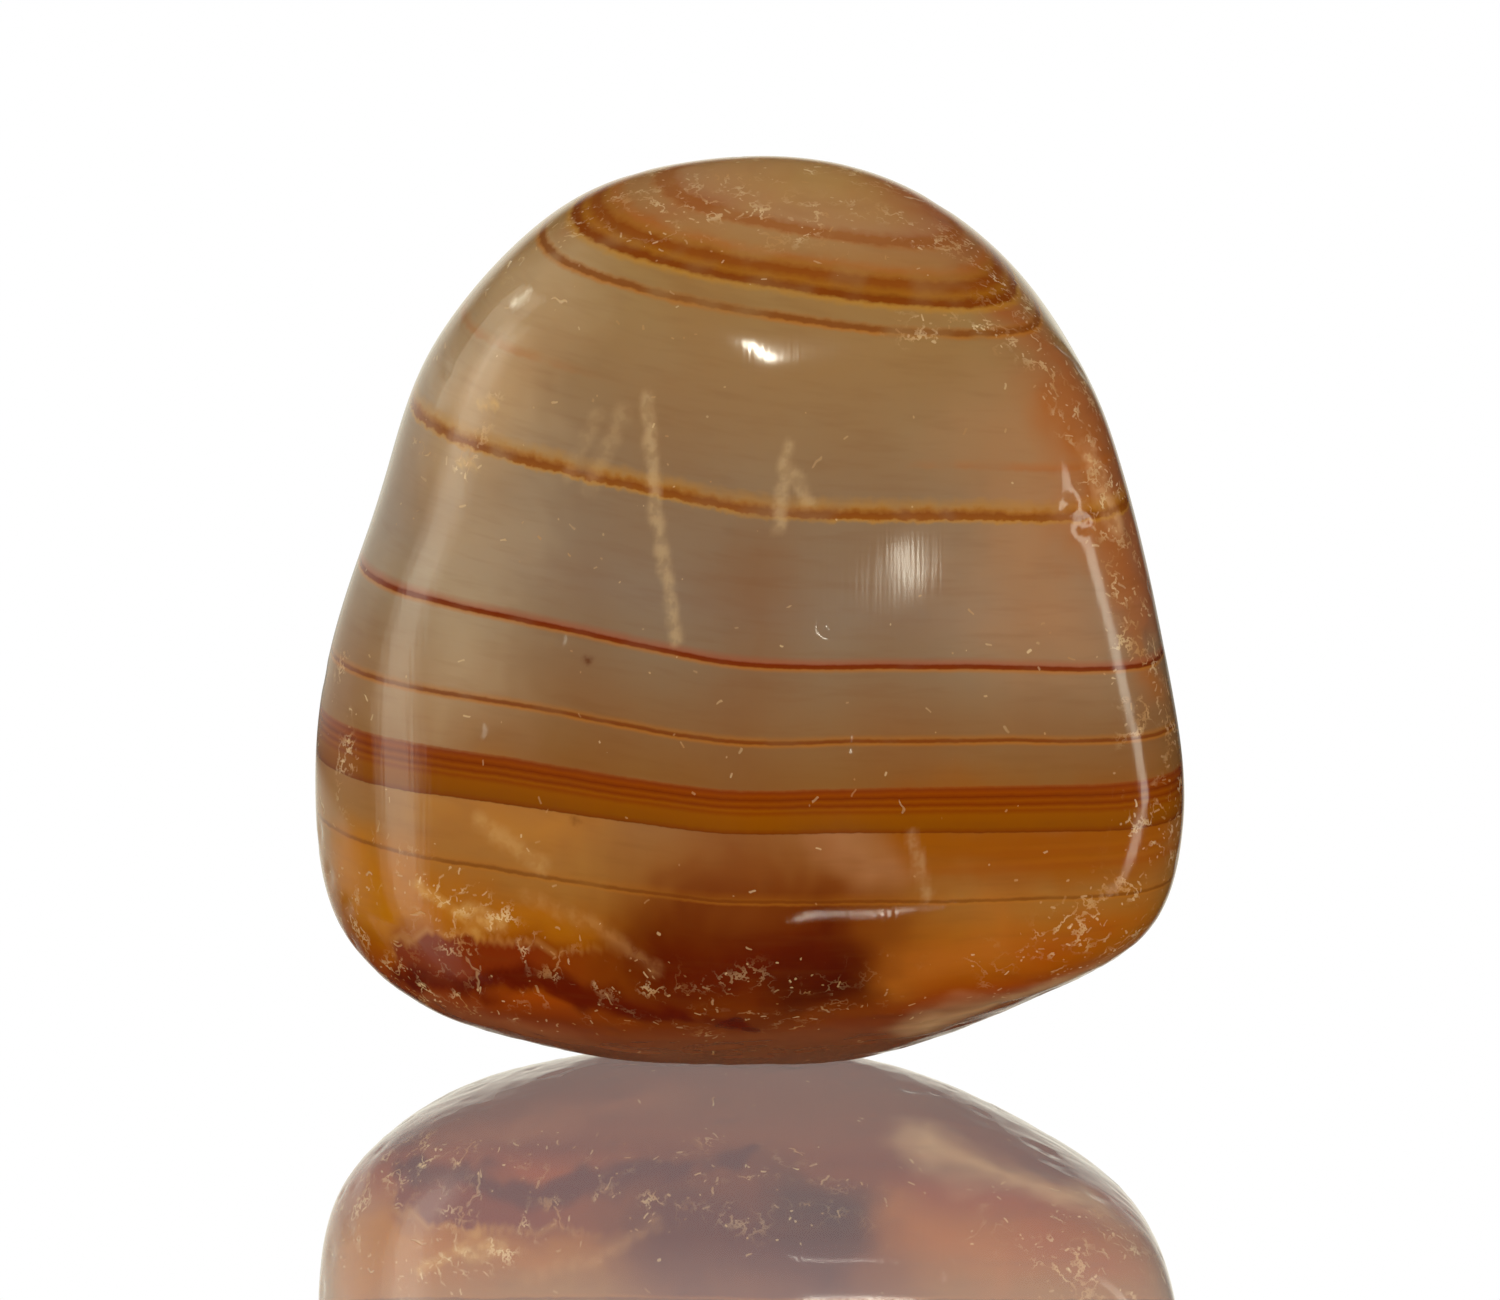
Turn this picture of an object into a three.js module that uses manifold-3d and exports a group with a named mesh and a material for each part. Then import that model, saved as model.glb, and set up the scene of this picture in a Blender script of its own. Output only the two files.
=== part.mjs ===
// A tumble-polished sardonyx stone, 30 mm tall, that stands on the small flat worn into its underside.
// Millimetres, +Z up, with the broad banded front towards -Y. The origin is on the ground, under the
// middle of the stone's box. The colour bands lie inside the stone, so nothing of them is raised.
import * as THREE from "three";
import { mergeVertices } from "three/addons/utils/BufferGeometryUtils.js";
import Module from "manifold-3d";

const HEART_HEIGHT = 13.5; // the point inside the stone that every distance below is measured from
const EDGE_SHARPNESS = 10; // the higher, the tighter the rounding where two worn faces meet
const SPHERE_DETAIL = 20; // 20 * 21^2 triangles
const OUTLINE_STEPS = 360;
const GROUND_BLOCK = 60;

// The outline seen from the front, clockwise from the crown, as [x, z].
const FRONT_OUTLINE = [
  [-0.4, 29.8],
  [4.4, 29.2],
  [8.0, 26.8],
  [10.5, 23.5],
  [12.0, 19.3],
  [13.1, 14.4],
  [13.8, 8.7],
  [12.9, 4.9],
  [9.3, 2.3],
  [4.9, 0.35],
  [-0.6, -0.4],
  [-6.3, 0.4],
  [-11.2, 2.05],
  [-13.7, 4.7],
  [-14.3, 10.4],
  [-12.7, 17.5],
  [-10.3, 23.8],
  [-5.8, 28.3],
];

// The two halves of the front meet in an upright crease, tighter than the rounded edges. Azimuth turns
// from the front (0) towards the right (90) and elevation rises from level, both in degrees; distance is
// from the heart to the face.
const CREASE_SHARPNESS = 26;
const FRONT_HALVES = [
  { name: "right of the crease", azimuth: 4, elevation: 4, distance: 9.5 },
  { name: "left of the crease", azimuth: -27, elevation: 4, distance: 8.5 },
];

// The other faces that tumbling wore, in the same terms.
const WORN_FACES = [
  { name: "left edge", azimuth: -60, elevation: 0, distance: 13.7 },
  { name: "left, towards the back", azimuth: -124, elevation: 2, distance: 13.8 },
  { name: "back, left half", azimuth: -154, elevation: 9, distance: 9.4 },
  { name: "back, right half", azimuth: 165, elevation: 3, distance: 9.6 },
  { name: "right, towards the back", azimuth: 126, elevation: 5, distance: 12.9 },
  { name: "front, under the crown", azimuth: -6, elevation: 25, distance: 11.6 },
  { name: "front of the crown", azimuth: -4, elevation: 46, distance: 13.4 },
  { name: "crown", azimuth: 10, elevation: 70, distance: 17.3 },
  { name: "back of the crown", azimuth: 172, elevation: 42, distance: 12.9 },
  { name: "foot, front", azimuth: 3, elevation: -61, distance: 13.65 },
  { name: "foot, back", azimuth: 168, elevation: -48, distance: 13.2 },
];

// Shallow hollows that the polish left: their place as seen from the heart, width and depth.
const HOLLOWS = [
  { name: "front, above the right foot", azimuth: 22, elevation: -22, width: 3.2, depth: 0.22 },
  { name: "front, under the crown", azimuth: -8, elevation: 24, width: 3.6, depth: 0.16 },
  { name: "left edge, above the middle", azimuth: -82, elevation: 24, width: 3.4, depth: 0.2 },
  { name: "back, low on the left", azimuth: -150, elevation: -18, width: 4.2, depth: 0.3 },
  { name: "back, high on the right", azimuth: 150, elevation: 20, width: 3.8, depth: 0.26 },
];

// Broad, low swells keep the faces from being truly flat: three crossing waves, with the direction that
// each runs in and where it starts, in radians.
const SWELL_HEIGHT = 0.023;
const SWELL_LENGTH = 7.5;
const SWELLS = [
  { along: new THREE.Vector3(1, 0.4, 0), start: 0 },
  { along: new THREE.Vector3(-0.5, 0, 0.8), start: 1.3 },
  { along: new THREE.Vector3(0, 0.9, 0.6), start: 2.1 },
];

const wasm = await Module();
wasm.setup();

function directionOf(azimuth, elevation) {
  const turn = THREE.MathUtils.degToRad(azimuth);
  const rise = THREE.MathUtils.degToRad(elevation);
  return new THREE.Vector3(
    Math.sin(turn) * Math.cos(rise),
    -Math.cos(turn) * Math.cos(rise),
    Math.sin(rise),
  );
}

// The outline as short chords about the heart.
const outline = new THREE.CatmullRomCurve3(
  FRONT_OUTLINE.map(([x, z]) => new THREE.Vector3(x, 0, z - HEART_HEIGHT)),
  true,
  "centripetal",
).getPoints(OUTLINE_STEPS);

// Distance from the heart to the outline in the direction (x, z), which is a unit vector.
function outlineDistance(x, z) {
  for (let i = 0; i < OUTLINE_STEPS; i++) {
    const a = outline[i];
    const b = outline[i + 1];
    const sideA = a.x * z - a.z * x;
    const sideB = b.x * z - b.z * x;
    const share = sideA / (sideA - sideB);
    const ahead = a.x * x + a.z * z;
    if (ahead > 0 && share >= 0 && share <= 1)
      return ahead + share * (b.x * x + b.z * z - ahead);
  }
  throw new Error("the outline doesn't close around the heart");
}

function aimed(place) {
  return { ...place, direction: directionOf(place.azimuth, place.elevation) };
}

const frontHalves = FRONT_HALVES.map(aimed);
const wornFaces = WORN_FACES.map(aimed);
const hollows = HOLLOWS.map(aimed);

// How strongly some faces limit the stone in one direction, raised to the given power.
function limitOf(faces, direction, power) {
  let limit = 0;
  for (const face of faces)
    limit += Math.pow(Math.max(0, face.direction.dot(direction)) / face.distance, power);
  return limit;
}

function faceLimits(direction) {
  const front = limitOf(frontHalves, direction, CREASE_SHARPNESS);
  return (
    Math.pow(front, EDGE_SHARPNESS / CREASE_SHARPNESS) +
    limitOf(wornFaces, direction, EDGE_SHARPNESS)
  );
}

// How strongly the outline limits it: as much as the faces leave over, so that together they meet the
// outline exactly where the stone is seen edge-on from the front.
function outlineLimit(direction) {
  const across = Math.hypot(direction.x, direction.z);
  if (across === 0) return 0;
  const level = new THREE.Vector3(direction.x / across, 0, direction.z / across);
  const whole = Math.pow(outlineDistance(level.x, level.z), -EDGE_SHARPNESS);
  const left = whole - faceLimits(level);
  if (left <= 0) throw new Error(`a worn face cuts the outline at ${level.x}, ${level.z}`);
  return left * Math.pow(across, EDGE_SHARPNESS);
}

// Distance from the heart to the surface in one direction. Adding the limits' high powers rounds the
// edges, where two limits are nearly equal.
function wornDistance(direction) {
  return Math.pow(faceLimits(direction) + outlineLimit(direction), -1 / EDGE_SHARPNESS);
}

function swellAt(point) {
  let height = 0;
  for (const { along, start } of SWELLS)
    height += SWELL_HEIGHT * Math.sin((2 * Math.PI * along.dot(point)) / SWELL_LENGTH + start);
  return height;
}

function hollowAt(point) {
  let depth = 0;
  for (const hollow of hollows) {
    const middle = hollow.direction.clone().multiplyScalar(point.length());
    depth += hollow.depth * Math.exp(-((point.distanceTo(middle) / hollow.width) ** 2));
  }
  return depth;
}

function surfacePoint(direction) {
  const point = direction.clone().multiplyScalar(wornDistance(direction));
  return point.setLength(point.length() + swellAt(point) - hollowAt(point));
}

// The whole stone before the flat: a fine sphere with each point moved to the worn surface.
function roughStone() {
  const sphere = new THREE.IcosahedronGeometry(1, SPHERE_DETAIL);
  sphere.deleteAttribute("normal");
  sphere.deleteAttribute("uv");
  const geometry = mergeVertices(sphere);
  const position = geometry.getAttribute("position");
  for (let i = 0; i < position.count; i++) {
    const direction = new THREE.Vector3().fromBufferAttribute(position, i).normalize();
    const point = surfacePoint(direction);
    position.setXYZ(i, point.x, point.y, point.z + HEART_HEIGHT);
  }
  return geometry;
}

function solidOf(geometry) {
  const bare = geometry.clone();
  bare.deleteAttribute("normal");
  bare.deleteAttribute("uv");
  const merged = mergeVertices(bare);
  return new wasm.Manifold(
    new wasm.Mesh({
      numProp: 3,
      vertProperties: new Float32Array(merged.getAttribute("position").array),
      triVerts: new Uint32Array(merged.index.array),
    }),
  );
}

function geometryOf(solid) {
  const { vertProperties, triVerts } = solid.getMesh();
  const geometry = new THREE.BufferGeometry();
  geometry.setAttribute("position", new THREE.BufferAttribute(vertProperties, 3));
  geometry.setIndex(new THREE.BufferAttribute(triVerts, 1));
  geometry.computeVertexNormals();
  return geometry;
}

// The small flat that the stone stands on is cut level with the ground.
function stoneGeometry() {
  const below = new THREE.BoxGeometry(GROUND_BLOCK, GROUND_BLOCK, GROUND_BLOCK);
  below.translate(0, 0, -GROUND_BLOCK / 2);
  const geometry = geometryOf(solidOf(roughStone()).subtract(solidOf(below)));
  geometry.computeBoundingBox();
  const middle = geometry.boundingBox.getCenter(new THREE.Vector3());
  return geometry.translate(-middle.x, -middle.y, 0);
}

const stone = new THREE.Mesh(
  stoneGeometry(),
  new THREE.MeshStandardMaterial({ color: 0xa8744a, roughness: 0.22, metalness: 0 }),
);
stone.name = "stone";

const sardonyx = new THREE.Group();
sardonyx.add(stone);

export default sardonyx;
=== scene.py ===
import math

import bpy
import numpy as np
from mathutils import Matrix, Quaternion, Vector, noise
from mathutils.bvhtree import BVHTree


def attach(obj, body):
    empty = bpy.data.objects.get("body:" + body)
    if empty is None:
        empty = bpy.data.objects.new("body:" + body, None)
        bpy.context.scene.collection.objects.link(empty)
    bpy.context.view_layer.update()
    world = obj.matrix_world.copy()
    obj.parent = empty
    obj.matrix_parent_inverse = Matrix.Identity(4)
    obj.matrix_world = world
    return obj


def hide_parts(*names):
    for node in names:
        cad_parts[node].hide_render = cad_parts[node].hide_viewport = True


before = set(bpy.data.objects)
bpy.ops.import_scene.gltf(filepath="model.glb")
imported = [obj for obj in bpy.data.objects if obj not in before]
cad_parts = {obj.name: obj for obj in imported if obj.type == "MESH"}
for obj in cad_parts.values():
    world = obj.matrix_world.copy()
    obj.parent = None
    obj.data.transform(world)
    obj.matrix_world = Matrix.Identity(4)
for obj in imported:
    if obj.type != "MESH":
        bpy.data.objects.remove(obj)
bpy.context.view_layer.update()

MM = 0.001
SEED = 41

# The point that the fine mesh is cast out from, and a distance well past the stone.
HEART = Vector((0.0, 0.0, 13.5))
FAR = 60.0

# The camera, at the photograph's viewing angle.
CAMERA_ELEVATION = 5.0
CAMERA_DISTANCE = 237.0
CAMERA_TARGET = Vector((0.2, 0.0, 13.55))
CAMERA_LENS = 173.0
CAMERA_SENSOR = 36.0
CAMERA_CLIP = (0.01, 10.0)

# The fine mesh: steps along its cube's sides, rounds of smoothing, and how far a full edge bulges.
GRID_STEPS = 126
FINE_SMOOTHING = 28
BROAD_SMOOTHING = 260
EDGE_REACH = 0.45

# Colours, as a screen shows them.
CREAM = (222, 196, 150)
PALE_TAN = (196, 166, 124)
AMBER = (166, 100, 24)
YELLOW_AMBER = (176, 122, 30)
ORANGE = (160, 84, 18)
BROWN_ORANGE = (138, 70, 10)
DARK_BROWN = (84, 36, 8)
RED_BROWN = (112, 44, 8)
DARK_RED = (108, 38, 8)
CRIMSON = (146, 72, 44)
ROSE_TAN = (156, 108, 84)

# The stone's own colour by height in its layers, from the foot up.
BODY = [
    (-1.0, (128, 84, 66)),
    (1.4, (118, 64, 34)),
    (2.6, (122, 62, 32)),
    (3.3, (108, 40, 8)),
    (4.2, (138, 58, 4)),
    (5.4, (146, 78, 0)),
    (6.8, (146, 92, 22)),
    (8.2, (146, 102, 48)),
    (10.4, (142, 98, 56)),
    (12.2, (127, 86, 42)),
    (14.2, (127, 93, 60)),
    (16.2, (127, 104, 81)),
    (18.0, (127, 106, 88)),
    (21.5, (129, 105, 81)),
    (25.0, (140, 112, 78)),
    (27.6, (146, 114, 70)),
    (29.6, (160, 120, 74)),
]
BODY_LOW = -1.0
BODY_HIGH = 31.0

# How the layers lean and fan out, and their waves: length, height and the noise's start.
LAYER_LEAN = {"x": 0.02, "y": -0.255}
LAYER_FAN = {"x": 0.0064, "y": -0.0085}
LAYER_WAVES = [(6.0, 0.11, 2.3), (1.8, 0.03, 6.1)]

# The bands. A band's lower edge lies at its level in the layers at x = 0; rise and bow lower it per 10 mm
# of x and per 100 of its square. Each stop is a height over that edge, a colour and its cover. Ragged is
# how far the edges waver, broken the share of the cover that weak spots lose, and side the two x between
# which a band that doesn't go right round sets in.
BANDS = [
    {
        "name": "faint crown line",
        "level": 29.15, "rise": -0.02, "bow": 0.06, "ragged": 0.06, "cover": 0.85, "broken": 0.5,
        "stops": [
            (-0.1, AMBER, 0.0), (0.0, BROWN_ORANGE, 0.85), (0.12, BROWN_ORANGE, 0.8), (0.26, ROSE_TAN, 0.35),
            (0.9, ROSE_TAN, 0.0),
        ],
    },
    {
        "name": "crown band",
        "level": 27.85, "rise": 0.03, "bow": -0.16, "ragged": 0.07, "cover": 0.95, "broken": 0.35,
        "stops": [
            (-0.2, YELLOW_AMBER, 0.0), (-0.07, YELLOW_AMBER, 0.6), (0.02, (118, 52, 0), 1.0),
            (0.12, (118, 52, 0), 1.0), (0.26, (146, 86, 0), 0.9), (0.4, (130, 62, 0), 0.95),
            (0.52, (128, 60, 0), 0.95), (0.64, (148, 88, 12), 0.8), (0.78, ORANGE, 0.6),
            (0.95, (150, 98, 54), 0.4), (1.5, ROSE_TAN, 0.0),
        ],
    },
    {
        "name": "thin crown line",
        "level": 27.07, "rise": 0.01, "bow": -0.18, "ragged": 0.06, "cover": 0.95, "broken": 0.5,
        "stops": [
            (-0.13, AMBER, 0.0), (-0.03, AMBER, 0.7), (0.03, (120, 58, 2), 0.9), (0.13, (120, 58, 2), 0.85),
            (0.25, AMBER, 0.0),
        ],
    },
    {
        "name": "ragged line",
        "level": 21.22, "rise": -0.03, "bow": -0.09, "ragged": 0.15, "cover": 0.95, "broken": 0.45,
        "stops": [
            (-0.14, YELLOW_AMBER, 0.0), (-0.03, YELLOW_AMBER, 0.6), (0.05, (130, 68, 0), 0.95),
            (0.2, (124, 62, 0), 0.95), (0.34, (150, 92, 8), 0.8), (0.5, YELLOW_AMBER, 0.4),
            (0.8, YELLOW_AMBER, 0.0),
        ],
    },
    {
        "name": "dark line",
        "level": 16.25, "rise": 0.05, "bow": 0.06, "ragged": 0.025, "cover": 1.0, "broken": 0.1,
        "stops": [
            (-0.18, AMBER, 0.0), (-0.06, AMBER, 0.65), (-0.01, RED_BROWN, 1.0), (0.1, DARK_RED, 1.0),
            (0.17, CRIMSON, 0.6), (0.4, CRIMSON, 0.0),
        ],
    },
    {
        "name": "thin line",
        "level": 13.64, "rise": -0.07, "bow": 0.08, "ragged": 0.03, "cover": 0.9, "broken": 0.25,
        "stops": [
            (-0.14, AMBER, 0.0), (-0.04, AMBER, 0.7), (0.02, (110, 48, 2), 0.95), (0.1, (116, 54, 4), 0.9),
            (0.17, AMBER, 0.4), (0.3, AMBER, 0.0),
        ],
    },
    {
        "name": "low dark line",
        "level": 8.2, "rise": 0.21, "bow": 0.04, "ragged": 0.04, "cover": 0.9, "broken": 0.35,
        "stops": [
            (-0.12, AMBER, 0.0), (-0.03, AMBER, 0.45), (0.02, (112, 58, 10), 0.8),
            (0.09, (112, 58, 10), 0.75), (0.18, AMBER, 0.2), (0.4, AMBER, 0.0),
        ],
    },
    {
        "name": "amber thread at the right",
        "level": 9.15, "rise": 0.0, "bow": 0.02, "ragged": 0.05, "cover": 0.75, "broken": 0.5,
        "side": (4.5, 8.0),
        "stops": [
            (-0.15, BROWN_ORANGE, 0.0), (0.0, BROWN_ORANGE, 0.8), (0.12, BROWN_ORANGE, 0.7),
            (0.4, AMBER, 0.0),
        ],
    },
    {
        "name": "second amber thread at the right",
        "level": 9.7, "rise": 0.0, "bow": 0.02, "ragged": 0.05, "cover": 0.6, "broken": 0.5,
        "side": (5.5, 9.0),
        "stops": [
            (-0.15, BROWN_ORANGE, 0.0), (0.0, BROWN_ORANGE, 0.7), (0.1, BROWN_ORANGE, 0.6),
            (0.35, AMBER, 0.0),
        ],
    },
    {
        "name": "faint thread in the right shoulder",
        "level": 23.0, "rise": 0.0, "bow": -0.1, "ragged": 0.08, "cover": 0.5, "broken": 0.9,
        "side": (4.0, 8.5),
        "stops": [(-0.1, ORANGE, 0.0), (0.0, ORANGE, 0.8), (0.1, ORANGE, 0.7), (0.3, AMBER, 0.0)],
    },
    {
        "name": "faint thread in the left shoulder",
        "level": 24.4, "rise": 0.0, "bow": -0.1, "ragged": 0.08, "cover": 0.4, "broken": 0.9,
        "side": (-4.0, -7.5),
        "stops": [(-0.1, ORANGE, 0.0), (0.0, ORANGE, 0.8), (0.1, ORANGE, 0.7), (0.3, AMBER, 0.0)],
    },
]
STOPS_LOW = -0.5
STOPS_HIGH = 1.6

# The wide band's two edges, and its stops as shares of the way from the lower to the upper one.
WIDE_TOP = {"level": 12.1, "rise": -0.14, "bow": 0.07}
WIDE_BOTTOM = {"level": 10.56, "rise": -0.03, "bow": 0.17}
WIDE_STOPS = [
    (0.0, DARK_BROWN, 0.0),
    (0.02, (104, 44, 0), 0.95),
    (0.06, (116, 54, 0), 0.95),
    (0.13, (124, 66, 0), 1.0),
    (0.38, (130, 70, 0), 1.0),
    (0.47, (122, 56, 0), 1.0),
    (0.53, (134, 70, 0), 1.0),
    (0.6, (112, 44, 0), 1.0),
    (0.68, (132, 64, 0), 1.0),
    (0.76, (108, 40, 0), 1.0),
    (0.84, (130, 58, 0), 1.0),
    (0.92, (116, 44, 4), 0.95),
    (0.97, (130, 60, 14), 0.7),
    (1.0, (140, 70, 20), 0.0),
]
WIDE_MARGIN = 0.02
WIDE_RAGGED = 0.03

# Soft stains in the skin, and painted light and shade: paler left and right faces and left shoulder, painted
# shade down the middle along the crease and a painted glow in the right foot. They are laid in this order.
# Each runs along a line of [x, z] places on the front and fades out at its reach. The side "back" puts its
# places on the back.
STAINS_AND_PAINTED_LIGHT = [
    # Painted light: the left face is laid paler where the side lamps light it and mirror in it.
    {"name": "painted light on the left face", "line": [(-8.6, 21.5), (-9.8, 13.0)],
     "reach": 5.1, "colour": (176, 153, 124), "cover": 0.7},
    # Painted light: the right face is laid paler where the side lamps light it.
    {"name": "painted light on the right face", "line": [(9.4, 20.5), (9.6, 15.6)],
     "reach": 5.0, "colour": (170, 126, 88), "cover": 0.65},
    # Painted light: the left shoulder is laid paler where the lamps at the left mirror in it.
    {"name": "painted light on the left shoulder", "line": [(-6.6, 26.0), (-8.6, 22.0)],
     "reach": 4.0, "colour": (180, 152, 116), "cover": 0.75},
    # Painted shade: the middle of the front is laid darker along the crease, between the lit faces.
    {"name": "painted shade along the crease", "line": [(0.2, 17.0), (0.0, 6.0)],
     "reach": 3.4, "colour": (118, 78, 44), "cover": 0.55},
    {"name": "honey below the wide band", "line": [(-10.0, 8.8), (-5.5, 8.4)],
     "reach": 2.6, "colour": (174, 120, 48), "cover": 0.75},
    {"name": "amber above the right foot", "line": [(6.0, 8.2), (13.2, 8.5)],
     "reach": 2.5, "core": 0.1, "colour": (138, 74, 0), "cover": 0.95},
    {"name": "yellow in the left foot", "line": [(-12.4, 6.6), (-10.8, 5.6)],
     "reach": 2.2, "core": 0.3, "colour": (168, 102, 0), "cover": 0.95},
    {"name": "rust in the left foot", "line": [(-10.8, 4.2), (-3.9, 4.0)],
     "reach": 1.6, "core": 0.2, "colour": (112, 36, 0), "cover": 0.95},
    {"name": "yellow over the bays", "line": [(-10.6, 6.0), (-5.0, 5.2)],
     "reach": 1.5, "colour": (164, 98, 0), "cover": 0.85},
    {"name": "cream border of the bays",
     "line": [(-11.0, 3.9), (-9.0, 4.5), (-7.6, 3.7), (-5.8, 3.4), (-4.6, 4.0)],
     "reach": 1.03, "core": 0.9, "colour": (200, 152, 84), "cover": 0.28},
    {"name": "rust bays", "line": [(-11.0, 3.7), (-9.0, 4.3), (-7.6, 3.5), (-5.8, 3.2), (-4.6, 3.8)],
     "reach": 1.0, "core": 0.84, "colour": (112, 34, 0), "cover": 0.95},
    {"name": "amber round the dark foot", "line": [(-2.6, 4.2), (3.0, 4.6)],
     "reach": 5.4, "core": 0.2, "colour": (130, 66, 4), "cover": 0.8},
    {"name": "dark foot", "line": [(-2.2, 4.0), (2.6, 4.5)],
     "reach": 4.2, "core": 0.05, "colour": (82, 16, 0), "cover": 0.95},
    {"name": "darkest spot", "line": [(2.2, 3.4), (3.2, 4.1)],
     "reach": 2.2, "colour": (58, 6, 0), "cover": 0.9},
    # Painted glow: light shining through the stone is laid as a bright amber colour in the right foot.
    {"name": "painted glow in the right foot", "line": [(5.0, 3.7), (8.4, 5.4)],
     "reach": 2.0, "colour": (162, 94, 26), "cover": 0.9},
    {"name": "orange right foot", "line": [(9.4, 5.0), (12.6, 5.8)],
     "reach": 1.5, "colour": (150, 74, 8), "cover": 0.85},
    {"name": "pale tan under the right foot", "line": [(6.0, 1.9), (11.4, 3.8)],
     "reach": 2.0, "colour": (204, 168, 130), "cover": 0.85},
    {"name": "brown under the left foot", "line": [(-10.2, 2.3), (-7.0, 1.4), (-2.5, 0.6)],
     "reach": 1.4, "colour": (140, 82, 50), "cover": 0.9},
    {"name": "dark streak in the foot", "line": [(-11.4, 3.3), (-7.2, 3.0), (-4.0, 2.6), (0.0, 2.2)],
     "reach": 0.75, "core": 0.3, "colour": (84, 16, 0), "cover": 0.95},
    {"name": "rosy crown", "line": [(-5.0, 27.7), (-1.4, 28.3)],
     "reach": 1.8, "colour": (148, 88, 46), "cover": 0.6},
    {"name": "yellow crown", "line": [(2.0, 29.2), (4.4, 28.7)],
     "reach": 2.0, "colour": (166, 130, 76), "cover": 0.6},
    {
        "name": "rust along the right rim",
        "line": [
            (5.6, 28.5), (7.4, 26.9), (9.0, 24.9), (10.6, 22.6), (11.9, 20.2), (12.7, 17.4), (13.0, 15.6),
        ],
        "reach": 2.3, "colour": (150, 76, 28), "cover": 0.9,
    },
    {"name": "amber in the right shoulder", "line": [(9.9, 21.8), (10.9, 18.0)],
     "reach": 1.7, "colour": (158, 86, 8), "cover": 0.85},
    {"name": "amber beside the right strip", "line": [(11.0, 20.4), (12.3, 16.0), (12.8, 13.4)],
     "reach": 1.3, "colour": (158, 88, 14), "cover": 0.75},
    {"name": "red edge", "line": [(11.2, 20.4), (11.8, 18.8), (12.4, 16.6)],
     "reach": 1.1, "core": 0.1, "colour": (146, 82, 40), "cover": 0.6},
    {"name": "veil", "line": [(3.2, 8.5), (4.6, 7.4)],
     "reach": 1.5, "colour": (160, 110, 74), "cover": 0.7},
    {"name": "rust on the back", "line": [(-6.0, 21.0), (1.0, 23.5)],
     "reach": 3.4, "colour": (148, 84, 34), "cover": 0.6, "side": "back"},
    {"name": "honey on the back", "line": [(4.0, 8.0), (9.0, 11.0)],
     "reach": 4.4, "colour": (168, 116, 56), "cover": 0.6, "side": "back"},
    {"name": "dark foot at the back", "line": [(-3.0, 4.0), (4.0, 3.6)],
     "reach": 3.0, "colour": (96, 38, 4), "cover": 0.8, "side": "back"},
]

# The share of its reach within which a mark has its full cover. Below 0, its middle is a little weak too.
STAIN_AND_LIGHT_CORE = -0.3
STREAK_CORE = 0.1

# Sharper marks on the front, over the bands: pale streaks, specks and chips.
STREAKS = [
    {"name": "long streak", "line": [(-3.05, 22.2), (-2.8, 18.4), (-2.15, 14.6)],
     "reach": 0.36, "colour": PALE_TAN, "cover": 0.45},
    {"name": "faint streak beside it", "line": [(-3.9, 21.7), (-4.9, 19.4)],
     "reach": 0.5, "colour": PALE_TAN, "cover": 0.2},
    {"name": "second faint streak", "line": [(-4.7, 21.6), (-5.6, 19.7)],
     "reach": 0.4, "colour": PALE_TAN, "cover": 0.16},
    {"name": "forked mark", "line": [(1.35, 20.7), (1.1, 18.2)],
     "reach": 0.34, "colour": PALE_TAN, "cover": 0.4},
    {"name": "fork's other arm", "line": [(1.5, 20.1), (2.05, 19.0)],
     "reach": 0.28, "colour": PALE_TAN, "cover": 0.35},
    {"name": "edge of the veil", "line": [(5.35, 8.5), (5.8, 6.6)],
     "reach": 0.28, "colour": PALE_TAN, "cover": 0.3},
    {"name": "low diagonal", "line": [(-8.5, 8.5), (-6.5, 7.2)],
     "reach": 0.5, "colour": (198, 156, 100), "cover": 0.35},
    {"name": "lower diagonal", "line": [(-7.0, 6.2), (-4.6, 5.3), (-2.8, 4.1)],
     "reach": 0.4, "colour": (190, 140, 84), "cover": 0.28},
    {"name": "dark speck", "line": [(-5.0, 13.9), (-4.9, 13.8)],
     "reach": 0.2, "colour": DARK_BROWN, "cover": 0.9},
    {"name": "second dark speck", "line": [(-5.4, 8.7), (-5.3, 8.7)],
     "reach": 0.2, "colour": DARK_BROWN, "cover": 0.9},
    {"name": "worm mark", "line": [(-8.5, 21.9), (-8.0, 21.8)],
     "reach": 0.24, "colour": (206, 166, 100), "cover": 0.6},
    {"name": "second worm mark", "line": [(-9.2, 20.0), (-8.7, 19.9)],
     "reach": 0.22, "colour": (206, 166, 100), "cover": 0.6},
    {"name": "cream island", "line": [(-8.9, 5.6), (-7.9, 5.2)],
     "reach": 0.45, "colour": (206, 164, 100), "cover": 0.5},
    {"name": "second cream island", "line": [(-10.6, 6.3), (-9.4, 5.6), (-8.6, 5.0)],
     "reach": 0.32, "colour": (208, 164, 92), "cover": 0.4},
    {"name": "pale chips on the right rim", "line": [(11.0, 20.6), (11.9, 18.2)],
     "reach": 0.6, "colour": (214, 168, 120), "cover": 0.5},
    {"name": "white chip", "line": [(-7.35, 25.15), (-7.05, 25.4)],
     "reach": 0.3, "colour": (240, 228, 204), "cover": 1.0},
]

# A mark's line is followed over the surface in steps of about this length. Warps, each a noise's length
# and its reach, make the marks' borders ragged.
LINE_STEP = 1.6
STAIN_AND_LIGHT_WARPS = [(2.6, 0.9), (0.7, 0.35)]
STREAK_WARPS = [(0.5, 0.13)]

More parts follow.
